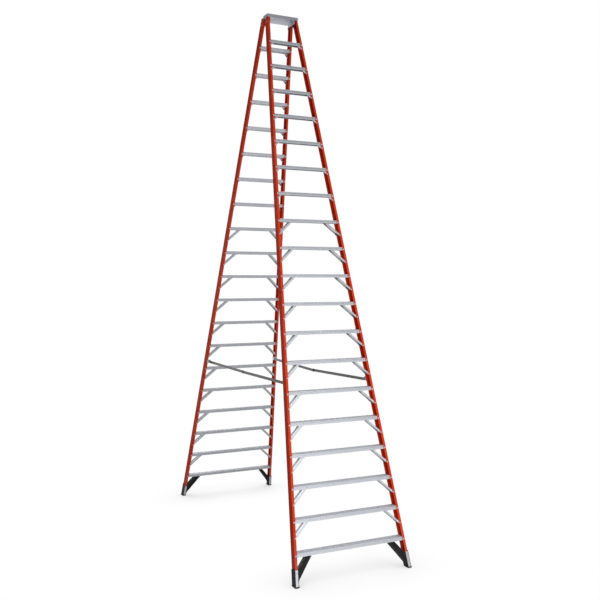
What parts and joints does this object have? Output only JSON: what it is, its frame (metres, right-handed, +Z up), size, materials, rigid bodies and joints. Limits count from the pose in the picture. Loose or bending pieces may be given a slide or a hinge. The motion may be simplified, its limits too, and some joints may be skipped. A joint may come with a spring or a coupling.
{
  "type": "twin stepladder",
  "caption": "Tall twin stepladder: two tapered fibreglass sections with metal steps, hinged under a top cap, on braced feet, with folding spreaders that hold it open.",
  "frame": {"origin": "on the floor, midway between the two sections and their rails, with the ladder open", "axes": "+Z up, +Y from the front section (which carries the cap) to the rear section, +X across the steps"},
  "size_m": [1.288, 3.6102, 5.8704],
  "materials": {
    "fibreglass": "orange pultruded fibreglass, satin",
    "step_aluminium": "mill finish extrusion",
    "zinc_steel": "zinc plated",
    "boot_plastic": "moulded black",
    "pad_rubber": "matt black",
    "block_plastic": "moulded dark red",
    "cap_aluminium": "satin",
    "spreader_steel": "dark galvanised"
  },
  "bodies": {
    "front_section": {"front_left_rail": "fibreglass", "front_right_rail": "fibreglass", "front_step_01": "step_aluminium", "front_step_02": "step_aluminium", "front_step_03": "step_aluminium", "front_step_04": "step_aluminium", "front_step_05": "step_aluminium", "front_step_06": "step_aluminium", "front_step_07": "step_aluminium", "front_step_08": "step_aluminium", "front_step_09": "step_aluminium", "front_step_10": "step_aluminium", "front_step_11": "step_aluminium", "front_step_12": "step_aluminium", "front_step_13": "step_aluminium", "front_step_14": "step_aluminium", "front_step_15": "step_aluminium", "front_step_16": "step_aluminium", "front_step_17": "step_aluminium", "front_step_18": "step_aluminium", "front_step_19": "step_aluminium", "front_step_braces": "zinc_steel", "front_boots": "boot_plastic", "front_shoes": "zinc_steel", "front_pads": "pad_rubber", "front_head_blocks": "block_plastic", "front_spreader_brackets": "zinc_steel", "top_cap": "cap_aluminium", "top_bolts": "zinc_steel"},
    "rear_section": {"rear_left_rail": "fibreglass", "rear_right_rail": "fibreglass", "rear_step_01": "step_aluminium", "rear_step_02": "step_aluminium", "rear_step_03": "step_aluminium", "rear_step_04": "step_aluminium", "rear_step_05": "step_aluminium", "rear_step_06": "step_aluminium", "rear_step_07": "step_aluminium", "rear_step_08": "step_aluminium", "rear_step_09": "step_aluminium", "rear_step_10": "step_aluminium", "rear_step_11": "step_aluminium", "rear_step_12": "step_aluminium", "rear_step_13": "step_aluminium", "rear_step_14": "step_aluminium", "rear_step_15": "step_aluminium", "rear_step_16": "step_aluminium", "rear_step_17": "step_aluminium", "rear_step_18": "step_aluminium", "rear_step_19": "step_aluminium", "rear_step_braces": "zinc_steel", "rear_boots": "boot_plastic", "rear_shoes": "zinc_steel", "rear_pads": "pad_rubber", "rear_head_blocks": "block_plastic", "rear_spreader_brackets": "zinc_steel"},
    "left_front_bar": {"left_front_bar": "spreader_steel"},
    "left_rear_bar": {"left_rear_bar": "spreader_steel"},
    "right_front_bar": {"right_front_bar": "spreader_steel"},
    "right_rear_bar": {"right_rear_bar": "spreader_steel"}
  },
  "joints": [
    {"name": "rear_section_fold", "type": "hinge", "parent": "front_section", "child": "rear_section", "pos_m": [0, 0.06141, 5.8254], "axis": [-1, 0, 0], "range_deg": [0, 32.52]},
    {"name": "left_front_bar_pivot", "type": "hinge", "parent": "front_section", "child": "left_front_bar", "pos_m": [-0.44601, -1.16631, 1.82661], "axis": [1, 0, 0], "range_deg": [0, 74.08]},
    {"name": "left_rear_bar_pivot", "type": "hinge", "parent": "rear_section", "child": "left_rear_bar", "pos_m": [-0.44601, 1.16631, 1.82661], "axis": [-1, 0, 0], "range_deg": [0, 74.09]},
    {"name": "right_front_bar_pivot", "type": "hinge", "parent": "front_section", "child": "right_front_bar", "pos_m": [0.44601, -1.16631, 1.82661], "axis": [1, 0, 0], "range_deg": [0, 75.19]},
    {"name": "right_rear_bar_pivot", "type": "hinge", "parent": "rear_section", "child": "right_rear_bar", "pos_m": [0.44601, 1.16631, 1.82661], "axis": [-1, 0, 0], "range_deg": [0, 75.24]}
  ],
  "couplings": [
    {"joint": "left_front_bar_pivot", "follows": "rear_section_fold", "ratio": 2.2779},
    {"joint": "left_rear_bar_pivot", "follows": "rear_section_fold", "ratio": 2.2782},
    {"joint": "right_front_bar_pivot", "follows": "rear_section_fold", "ratio": 2.3121},
    {"joint": "right_rear_bar_pivot", "follows": "rear_section_fold", "ratio": 2.3135}
  ]
}
